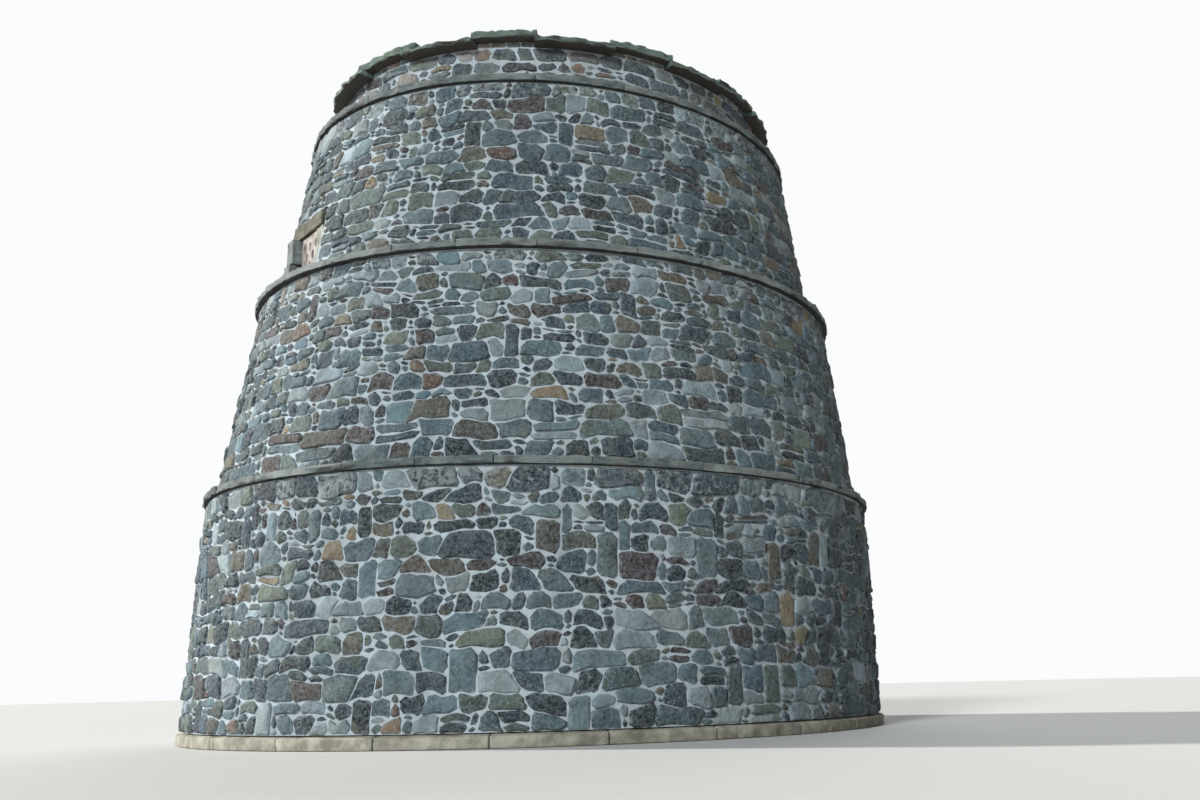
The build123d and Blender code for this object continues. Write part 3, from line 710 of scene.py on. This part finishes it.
def layStones(values, stage, openings, draw):
    levels = courseLevels(values, stage, draw)
    girth, last = stage["girth"], len(levels) - 2
    cells, taken = [], []
    for k in range(last + 1):
        low, high = levels[k], levels[k + 1]
        blocked, fillers = list(taken), []
        for left, right, foot, head in clearOf(openings, low, high):
            blocked.append((left, right))
            if high - head > leastGap:
                fillers.append((left, right, head, high))
            if foot - low > leastGap:
                fillers.append((left, right, low, foot))
        start = draw.uniform(0, girth)
        for left, right in blocked:
            if (start - left) % girth < right - left:
                start = right
        above = [(a, b) for a, b, foot, head in openings
                 if k < last and foot < levels[k + 2] and head > high] + blocked[len(taken):]
        talls = []
        for begin, end in freeStretches(girth, start, blocked):
            joints, kinds = fillStretch(
                values, begin, end, high - low,
                lambda a, b: k < last and not any(meets(girth, (a, b), stretch) for stretch in above), draw)
            for left, right, kind in zip(joints, joints[1:], kinds):
                top = k + 2 if kind == "tall" else k + 1
                if kind == "tall":
                    talls.append((left[0], right[0]))
                cell = {"k": k, "top": top, "left": left, "right": right, "low": 0.0, "high": 1.0,
                        "from": 0.0, "to": 1.0}
                cells.extend(cutCell(cell, kind, right[0] - left[0], draw))
        for left, right, foot, head in fillers:
            count = max(1, round((right - left) / fillerLength))
            for index in range(count):
                begin, end = (left + (right - left) * step / count for step in (index, index + 1))
                cells.append({"flat": (begin, end, foot, head)})
        taken = talls
    return levels, cells


def cellPoint(values, stage, levels, cell, across, up):    # a share across and up a cell, in the flat
    if "flat" in cell:
        left, right, foot, head = cell["flat"]
        return left + (right - left) * across, foot + (head - foot) * up
    share = cell["low"] + (cell["high"] - cell["low"]) * up
    across = cell["from"] + (cell["to"] - cell["from"]) * across
    sides = [place + lean * (2 * share - 1) + bow * math.sin(math.pi * share)
             for place, lean, bow in (cell["left"], cell["right"])]
    x = sides[0] + (sides[1] - sides[0]) * across
    foot, head = (bedAt(values, stage, levels, cell[key], x) for key in ("k", "top"))
    return x, foot + (head - foot) * share


def stoneOutline(values, stage, levels, cell, draw):    # uneven sides and worn corners inside a cell
    west, east = (cellPoint(values, stage, levels, cell, a, 0.5) for a in (0, 1))
    base, crown = (cellPoint(values, stage, levels, cell, 0.5, b) for b in (0, 1))
    width, height = east[0] - west[0], crown[1] - base[1]
    least = min(width, height)
    if least < leastStone:
        return None, 0
    between = 0 if least < smallStone else (1 if width * height < smallFace else 2)
    foot, right, head, left = (min(draw.uniform(*values["joint"]) / 2, jointMost * least) for _ in range(4))
    corners = ((left, foot), (width - right, foot), (width - right, height - head), (left, height - head))
    ends = []
    for number, (x, z) in enumerate(corners):
        reach = draw.uniform(*values["round"]) * (headRound if number > 1 else 1.0)
        along = min(reach * draw.uniform(*roundAlong), roundMost * width) * (1 if number in (0, 3) else -1)
        upward = min(reach * draw.uniform(*roundUp), roundMost * height) * (1 if number < 2 else -1)
        pair = ((x, z + upward), (x + along, z))
        ends.append(pair if number % 2 == 0 else pair[::-1])
    outline = []
    for number, (arriving, leaving) in enumerate(ends):
        following = ends[(number + 1) % 4][0]
        run = Vector(following) - Vector(leaving)
        inward = Vector((-run.y, run.x)).normalized()
        outline += [Vector(arriving), Vector(leaving)]
        for step in range(between):
            place = Vector(leaving) + run * ((step + draw.uniform(*stepSwing)) / (between + 1))
            outline.append(place + inward * draw.uniform(*(headWander if number == 2 else sideWander)))
    worn = wornShare * least
    outline = [point + Vector((draw.uniform(-worn, worn), draw.uniform(-worn, worn))) * 0.5
               for point in outline]
    return [cellPoint(values, stage, levels, cell, x / width, z / height) for x, z in outline], least


def pickTone(tones, draw):
    colour, = draw.choices([colour for colour, weight in tones], [weight for colour, weight in tones])
    light, warmth = math.exp(draw.gauss(0, lightSwing)), draw.gauss(0, warmthSwing)
    made = [min(palest, max(darkest, value * light + drift))
            for value, drift in zip(colour, (warmth, draw.gauss(0, greenSwing), -warmth))]
    return (*tone(*made)[:3], draw.random())


class StoneMesh:    # gathers closed stones, each a few rings of points and a face
    def __init__(self):
        self.points, self.faces, self.tints, self.margins, self.veils = [], [], [], [], []

    def add(self, outline, least, veil, values, draw):
        count = len(outline)
        middle = (sum(p[0] for p in outline) / count, sum(p[1] for p in outline) / count)
        proud = draw.uniform(*values["proud"]) * (facing["smallProud"] if count == 8 else 1.0)
        tiltX, tiltZ = draw.uniform(*facing["tiltAcross"]), draw.uniform(*facing["tiltUp"])
        seed = draw.uniform(0, 90)
        bevel = min(draw.uniform(*facing["bevel"]), least * facing["bevelMost"])
        inner = min(facing["inner"], least * facing["innerMost"])
        # each ring has its inset, its share of how far the stone stands proud, and its margin for the lime
        rings = [(0.0, None, 1.0), (bevel * 0.4, 0.42, 0.66), (bevel + inner * 0.35, 0.90, 0.24)]
        if count > 8:
            rings.append((bevel + inner * 1.25, 1.05, 0.05))
        tint = pickTone(values["tones"], draw)
        first = len(self.points)
        for inset, share, margin in rings:
            for x, z in outline:
                dx, dz = middle[0] - x, middle[1] - z
                step = min(inset / math.hypot(dx, dz), 0.6)
                px, pz = x + dx * step, z + dz * step
                depth = -bedDepth
                if share is not None:
                    lift = tiltX * (px - middle[0]) + tiltZ * (pz - middle[1])
                    spot = Vector((px / facing["lumpSize"], pz / facing["lumpSize"], seed))
                    lift += facing["lump"] * noise.noise(spot)
                    depth = max((proud + lift) * share, facing["leastProud"])
                self.points.append((px, depth, pz))
                self.margins.append(margin)
        self.points.append((middle[0], proud + draw.uniform(0.0, facing["crown"]), middle[1]))
        self.margins.append(0.0)
        last = len(self.points) - 1
        for ring in range(len(rings) - 1):
            for index in range(count):
                a = first + ring * count + index
                b = first + ring * count + (index + 1) % count
                self.faces.append((a, b, b + count, a + count))
        top = first + (len(rings) - 1) * count
        for index in range(count):
            self.faces.append((top + index, top + (index + 1) % count, last))
        self.faces.append(tuple(first + index for index in reversed(range(count))))
        self.tints.extend([tint] * (last - first + 1))
        self.veils.extend([veil] * (last - first + 1))


def wrapStones(stones, name, stage, roughness, seed):    # the laid stones brought round the tower
    tint = [value for colour in stones.tints for value in colour]
    piece = newPiece(name, stones.points, stones.faces, tint=tint, margin=stones.margins, veil=stones.veils)
    runTree(piece, trees["wrap"], {
        "Foot Level": stage["footLevel"], "Head Level": stage["headLevel"],
        "Foot Radius": stage["footRadius"], "Head Radius": stage["headRadius"],
        "Laid Radius": stage["girth"] / fullTurn, "Roughness": roughness, "Grain": 0.05,
        "Seed": float(seed), "Material": finishes["stone"]})
    settle(piece, rubbleSharp)
    keep(piece, "whinstone_rubble")


def solidsOf(nodeName):    # the points and faces of each closed solid in a node
    work = bmesh.new()
    work.from_mesh(frame["nodes"][nodeName].data)
    bmesh.ops.remove_doubles(work, verts=work.verts, dist=0.0002)
    work.faces.index_update()
    seen, solids = set(), []
    for vertex in work.verts:
        if vertex in seen:
            continue
        seen.add(vertex)
        queue, members = [vertex], []
        while queue:
            one = queue.pop()
            members.append(one)
            for edge in one.link_edges:
                other = edge.other_vert(one)
                if other not in seen:
                    seen.add(other)
                    queue.append(other)
        number = {v: k for k, v in enumerate(members)}
        faces = sorted({face for v in members for face in v.link_faces}, key=lambda face: face.index)
        solids.append(([v.co.copy() for v in members], [[number[v] for v in face.verts] for face in faces]))
    work.free()
    return solids


def solidSpans(nodeName):    # middle angle and arc of each solid in a node
    spans = []
    for points, faces in solidsOf(nodeName):
        middle = math.atan2(sum(p.x for p in points), -sum(p.y for p in points))
        turns = [(math.atan2(p.x, -p.y) - middle + math.pi) % fullTurn - math.pi for p in points]
        low, high = min(turns), max(turns)
        spans.append((middle + (low + high) / 2, high - low))
    return sorted(spans)


dressedNodes = {"upper": ("flight_hole_jambs", "flight_hole_lintel", "flight_hole_panel"),
                "lower": ("door_jambs", "door_lintel", "door_threshold")}


def openingsIn(stageName):    # stretches that the dressed stones of an opening take, in the flat
    laidRadius = stages[stageName]["girth"] / fullTurn
    gaps = []
    for name in dressedNodes.get(stageName, ()):
        low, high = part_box(name)
        facesWest = high.x < 0
        half = (high.y - low.y) / 2 if facesWest else (high.x - low.x) / 2
        reach = math.asin(half / laidRadius) * laidRadius + sideClear
        middle = -math.pi / 2 * laidRadius if facesWest else 0.0
        gaps.append((middle - reach, middle + reach, low.z - footClear, high.z + headClear))
    return gaps


def clearOf(openings, low, high):    # the widest opening within a course, as it is left free of stones
    met = [gap for gap in openings if gap[2] < high and gap[3] > low]
    return [(min(gap[0] for gap in met), max(gap[1] for gap in met), min(gap[2] for gap in met),
             max(gap[3] for gap in met))] if met else []


def buildRubble(name, count=2):
    values, stage = rubble[name], stages[name]
    draw = random.Random(values["seed"])
    levels, cells = layStones(values, stage, openingsIn(name), draw)
    gathered = [StoneMesh() for _ in range(count)]
    for cell in cells:
        outline, least = stoneOutline(values, stage, levels, cell, draw)
        if outline:
            across, up = (sum(point[k] for point in outline) / len(outline) for k in (0, 1))
            underString = stage["headLevel"] - up < limeBand and name != "wallhead"
            veil = draw.uniform(0.22, 0.70) if underString else 0.40 * draw.random() ** 4
            half = int(across % stage["girth"] / stage["girth"] * count)
            gathered[half].add(outline, least, veil, values, draw)
    for number, stones in enumerate(gathered):
        wrapStones(stones, f"{name}_stage_stones_{number + 1}", stage, 0.004, values["seed"])
    print(name, "stage:", len(cells), "stones")


for name in stages:
    buildRubble(name)


def buildPacking(values):    # flat stones in the gaps between the lower eaves slabs
    low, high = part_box("eaves_packing")
    radius = stages["wallhead"]["headRadius"]
    stage = {"footLevel": low.z, "headLevel": high.z, "footRadius": radius, "headRadius": radius,
             "girth": fullTurn * radius}
    draw = random.Random(values["seed"])
    stones = StoneMesh()
    for angle, arc in solidSpans("eaves_packing"):
        cuts = unevenCuts(max(1, round(arc * radius / values["length"])), cutSwing, draw)
        for a, b in zip(cuts, cuts[1:]):
            begin, end = ((angle + (share - 0.5) * arc) * radius for share in (a, b))
            outline, least = stoneOutline(values, stage, [], {"flat": (begin, end, low.z, high.z)}, draw)
            stones.add(outline, least, 0.0, values, draw)
    wrapStones(stones, "eaves_packing_stones", stage, 0.003, values["seed"])


buildPacking({"length": 0.16, "joint": (0.006, 0.016), "round": (0.006, 0.020), "proud": (0.006, 0.022),
              "tones": wallheadTones, "seed": 47})


# Slabs and dressed courses: strings, eaves, roof flags, kerb and base

def unevenSpans(spans, joint, variation, draw):    # the same ring with joints moved along it
    pitch = fullTurn / len(spans)
    first = spans[0][0] - pitch / 2
    joints = [first + (k + draw.uniform(-variation, variation)) * pitch for k in range(len(spans))]
    joints.append(joints[0] + fullTurn)
    return [((a + b) / 2, b - a - joint) for a, b in zip(joints, joints[1:])]


def reachesOf(node):    # least and greatest distance of a node from the axis
    reaches = [math.hypot(v.co.x, v.co.y) for v in frame["nodes"][node].data.vertices]
    return min(reaches), max(reaches)


slabDefaults = {"uneven": 0.0, "slope": 0.0, "fall": 0.0, "fallWidth": 0.09, "undercut": 0.0, "ragged": 0.0,
                "jointLime": 0.6, "tint": tone(180, 175, 161), "grain": 0.09, "along": 14, "deep": 4,
                "finish": "slab", "slot": "whinstone_slab", "bevel": 0.008}


def buildSlabs(values, spans):
    low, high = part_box(values["node"])
    inner, outer = reachesOf(values["node"])
    values = {**slabDefaults, "depth": outer - inner, "foot": low.z, "thickness": high.z - low.z, **values}
    depth, thick = values["depth"], values["thickness"]
    draw = random.Random(values["seed"])
    places = [(angle, outer - depth / 2 - draw.uniform(0, values["uneven"]), values["foot"] + thick / 2)
              for angle, arc in spans]
    piece = newPiece(values["name"], places, arc=[arc for angle, arc in spans])
    runTree(piece, trees["slab"], {
        "Depth": depth, "Thickness": thick, "Outer Radius": outer, "Slope": values["slope"],
        "Fall": values["fall"], "Fall Width": values["fallWidth"], "Undercut": values["undercut"],
        "Ragged": values["ragged"], "Joint Lime": values["jointLime"], "Tint": values["tint"],
        "Chips": values["chips"], "Roughness": values["roughness"], "Grain": values["grain"],
        "Seed": values["seed"], "Pieces Along": values["along"], "Pieces Deep": values["deep"],
        "Material": finishes[values["finish"]]})
    wearEdges(piece, values["bevel"], 50)
    settle(piece, slabSharp)
    keep(piece, values["slot"], values["node"])


stringValues = {"chips": 0.036, "roughness": 0.016, "fall": 0.002, "fallWidth": 0.060, "undercut": 0.004,
                "ragged": 0.024, "uneven": 0.008, "bevel": 0.007, "along": 18, "bedded": 0.20,
                "joint": 0.005, "swing": 0.30}
for number, name in enumerate(("lower", "middle", "upper")):
    node = name + "_string_course"
    outer = reachesOf(node)[1]
    spans = unevenSpans(solidSpans(node), stringValues["joint"] / outer, stringValues["swing"],
                        random.Random(70 + number))
    buildSlabs({**stringValues, "name": name + "_string_slabs", "node": node, "seed": 60 + number,
                "depth": outer - stages[name]["headRadius"] + stringValues["bedded"]}, spans)

for number, layer in enumerate(("under", "over")):
    node = f"eaves_{layer}_slabs"
    buildSlabs({"name": f"eaves_{layer}_stones", "node": node, "seed": 80 + number, "chips": 0.060,
                "roughness": 0.018, "fall": -0.010, "ragged": 0.030, "fallWidth": 0.07, "undercut": 0.004,
                "jointLime": 0.0, "uneven": 0.012, "finish": "eaves", "along": 22, "deep": 7},
               solidSpans(node))

footGap, kerbTrim = 0.003, 0.004    # these keep worn stones within the frame's own box
buildSlabs({"name": "base_course_stones", "node": "base_course", "seed": 90, "depth": 0.378, "chips": 0.012,
            "roughness": 0.006, "fall": 0.028, "fallWidth": 0.057, "bevel": 0.010, "finish": "dressed",
            "slot": "dressed_sandstone", "along": 16, "foot": footGap, "thickness": baseTop - footGap},
           solidSpans("base_course"))


def flagCourse(node, seed):    # a sloping course of roof flags, its measures read off the node
    low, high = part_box(node)
    inner, outer = reachesOf(node)
    outerTop = max(v.co.z for v in frame["nodes"][node].data.vertices
                   if math.hypot(v.co.x, v.co.y) > outer - 0.01)
    buildSlabs({"name": node.replace("_flags", "_slabs"), "node": node, "seed": seed, "chips": 0.035,
                "roughness": 0.012, "fall": 0.004, "bevel": 0.010, "deep": 8, "thickness": outerTop - low.z,
                "slope": (high.z - outerTop) / (outer - inner)}, solidSpans(node))


for number, node in enumerate(("lower_roof_flags", "middle_roof_flags", "upper_roof_flags")):
    flagCourse(node, 100 + number)

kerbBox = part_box("oculus_kerb")
buildSlabs({"name": "oculus_kerb_stones", "node": "oculus_kerb", "seed": 110, "chips": 0.010,
            "roughness": 0.006, "fall": 0.010, "bevel": 0.014, "finish": "dressed",
            "slot": "dressed_sandstone", "along": 12, "deep": 5,
            "thickness": kerbBox[1].z - kerbBox[0].z - kerbTrim}, solidSpans("oculus_kerb"))


# Dressed stones of the openings, worn from the frame's own shapes

def unite(solids):    # the points and faces of several solids as one
    points, faces = [], []
    for corners, sides in solids:
        faces += [[len(points) + corner for corner in side] for side in sides]
        points += corners
    return points, faces


def wornStones(values):    # one piece that stands for the nodes named, its arrises worn and faces roughened
    points, faces, tints = [], [], []
    draw = random.Random(values["seed"])
    for node in values["nodes"]:
        solids = solidsOf(node)
        for corners, sides in [unite(solids)] if values.get("united") else solids:
            stone = newPiece("stoneUnderWay", corners, sides)
            blocks = stone.modifiers.new("blocks", "REMESH")
            blocks.mode, blocks.voxel_size = "VOXEL", values["voxel"]
            soften = stone.modifiers.new("wornArrises", "SMOOTH")
            soften.factor, soften.iterations = 0.5, values["wear"]
            runTree(stone, trees["roughen"], {"Roughness": values["roughness"], "Grain": values["grain"],
                                             "Seed": draw.uniform(0, 50), "Material": finishes["dressed"]})
            settle(stone)
            first = len(points)
            points.extend(tuple(v.co) for v in stone.data.vertices)
            faces.extend([first + index for index in face.vertices] for face in stone.data.polygons)
            middle = sum(corners, Vector()) / len(corners)
            tints.extend(values["tintAt"](middle, draw) * len(stone.data.vertices))
            bpy.data.objects.remove(stone)
    piece = newPiece(values["name"], points, faces, tint=tints)
    piece.data.materials.append(finishes["dressed"])
    piece.data.shade_smooth()
    keep(piece, "dressed_sandstone", *values["nodes"])


def flightTint(middle, draw):    # cream on the right side, grey on the left, the lintel buff
    if middle.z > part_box("flight_hole_lintel")[0].z:
        return tone(120, 118, 104)
    return tone(178, 179, 168) if middle.x > 0 else tone(138, 146, 148)


def doorTint(middle, draw):
    return draw.choice((tone(172, 166, 150), tone(150, 146, 134), tone(128, 132, 130)))


wornStones({"name": "flight_hole_surround", "nodes": ("flight_hole_jambs", "flight_hole_lintel"), "seed": 5,
            "voxel": 0.012, "wear": 3, "roughness": 0.034, "grain": 0.07, "tintAt": flightTint})
wornStones({"name": "flight_hole_grille", "nodes": ("flight_hole_panel",), "seed": 6, "united": True,
            "voxel": 0.008, "wear": 1, "roughness": 0.006, "grain": 0.05,
            "tintAt": lambda middle, draw: tone(206, 194, 188)})
wornStones({"name": "doorway_stones", "nodes": ("door_jambs", "door_lintel", "door_threshold"), "seed": 7,
            "voxel": 0.018, "wear": 3, "roughness": 0.018, "grain": 0.12, "tintAt": doorTint})


# Door: planks in the place of the leaf, studs through the bands and nails in the ledged planks

door = {"planks": 6, "gap": 0.004, "variation": 0.10, "roughness": 0.006, "bevel": 0.004, "studPitch": 0.125,
        "studRadius": 0.012, "studHeight": 0.007, "nailRadius": 0.008, "nailHeight": 0.004, "seed": 9,
        "studStart": 0.04, "studEnds": 0.12, "nailClear": 0.02, "nailStep": 0.028}


def buildPlanks(values):
    low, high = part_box("door_leaf")
    shares = unevenCuts(values["planks"], values["variation"], random.Random(values["seed"]))
    cuts = [low.y + share * (high.y - low.y) for share in shares]
    middles = [(a + b) / 2 for a, b in zip(cuts, cuts[1:])]
    places = [((low.x + high.x) / 2, middle, (low.z + high.z) / 2) for middle in middles]
    widths = [b - a - values["gap"] for a, b in zip(cuts, cuts[1:])]
    piece = newPiece("door_planks", places, boardWidth=widths)
    runTree(piece, trees["board"], {"Depth": high.x - low.x, "Height": high.z - low.z,
                                    "Roughness": values["roughness"], "Seed": values["seed"],
                                    "Material": finishes["boards"]})
    wearEdges(piece, values["bevel"], 30)
    settle(piece, slabSharp)
    keep(piece, "weathered_boards", "door_leaf")
    return middles


def buildStuds(name, places, radius, height):
    piece = newPiece(name, places)
    runTree(piece, trees["stud"], {"Radius": radius, "Height": height, "Material": finishes["iron"]})
    settle(piece, studSharp)
    keep(piece, "wrought_iron")


plankMiddles = buildPlanks(door)
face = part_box("door_leaf")[0].x
studs, nails = [], []
for reach, sides in solidsOf("door_bands"):
    level = (min(p.z for p in reach) + max(p.z for p in reach)) / 2
    tip, heel = min(p.y for p in reach), max(p.y for p in reach)
    strap = min(p.x for p in reach if p.y < (tip + heel) / 2)
    count = int((heel - tip - door["studEnds"]) / door["studPitch"])
    studs += [(strap, tip + door["studStart"] + k * door["studPitch"], level) for k in range(count + 1)]
    nails += [(face, middle, level + step) for middle in plankMiddles if middle < tip - door["nailClear"]
              for step in (-door["nailStep"], door["nailStep"])]
buildStuds("door_band_studs", studs, door["studRadius"], door["studHeight"])
buildStuds("door_nails", nails, door["nailRadius"], door["nailHeight"])


# What the frame already has in its right shape gets its finish

slotFinishes = {"whinstone_rubble": "lime", "whinstone_slab": "slab", "dressed_sandstone": "dressed",
                "weathered_boards": "boards", "wrought_iron": "iron"}
for part in frame["record"]["subparts"]:
    materials = frame["nodes"][part["node"]].data.materials
    materials.clear()
    materials.append(finishes[slotFinishes[part["material_slot"]]])


# Floor, world and lamps

studio = {
    "floorRadius": 90, "floorDrop": 0.001, "floorTone": (198, 198, 196), "floorRoughness": 0.9,
    "worldStrength": 0.04, "worldColour": (0.93, 0.97, 1.0, 1), "seenColour": (0.96, 0.97, 0.98, 1),
    "lamps": {
        "keyLamp": {"azimuth": -58, "height": 24, "strength": 4.6, "spread": 3, "colour": (1.0, 0.97, 0.92)},
        "fillLamp": {"azimuth": 28, "height": 26, "strength": 2.7, "spread": 14, "colour": (0.92, 0.98, 1.0)},
        "backLamp": {"azimuth": 230, "height": 35, "strength": 1.1, "spread": 40, "colour": (1.0, 1.0, 1.0)}}}


def buildStudio(values):
    bpy.ops.mesh.primitive_circle_add(vertices=96, radius=values["floorRadius"], fill_type="NGON",
                                      location=(0, 0, -values["floorDrop"]))
    floor = bpy.context.object
    floor.name = "floor"
    plain = bpy.data.materials.new("plainFloor")
    plain.use_nodes = True
    surface = plain.node_tree.nodes["Principled BSDF"].inputs
    surface["Base Color"].default_value = tone(*values["floorTone"])
    surface["Roughness"].default_value = values["floorRoughness"]
    floor.data.materials.append(plain)
    world = bpy.data.worlds.new("studio")
    bpy.context.scene.world = world
    world.use_nodes = True
    make = Sketch(world.node_tree)
    sky = make.tree.nodes["Background"]
    sky.inputs["Strength"].default_value = values["worldStrength"]
    sky.inputs["Color"].default_value = values["worldColour"]
    white = make.add("ShaderNodeBackground", {"Color": values["seenColour"], "Strength": 1.0})
    path = make.add("ShaderNodeLightPath").outputs
    seen = make.calc("MAXIMUM", *(path[f"Is {ray} Ray"] for ray in ("Camera", "Glossy", "Transmission")))
    mixed = make.add("ShaderNodeMixShader", {0: seen, 1: sky.outputs[0], 2: white.outputs[0]})
    make.feed(make.tree.nodes["World Output"].inputs["Surface"], mixed.outputs[0])
    for name, lamp in values["lamps"].items():
        sun = bpy.data.lights.new(name, "SUN")
        sun.energy, sun.angle, sun.color = lamp["strength"], math.radians(lamp["spread"]), lamp["colour"]
        holder = bpy.data.objects.new(name, sun)
        bpy.context.scene.collection.objects.link(holder)
        azimuth, height = math.radians(lamp["azimuth"]), math.radians(lamp["height"])
        towards = Vector((math.sin(azimuth) * math.cos(height), -math.cos(azimuth) * math.cos(height),
                          math.sin(height)))
        holder.rotation_euler = towards.to_track_quat("Z", "Y").to_euler()
    bpy.context.scene.view_settings.view_transform = "Standard"


buildStudio(studio)

print("scene made")
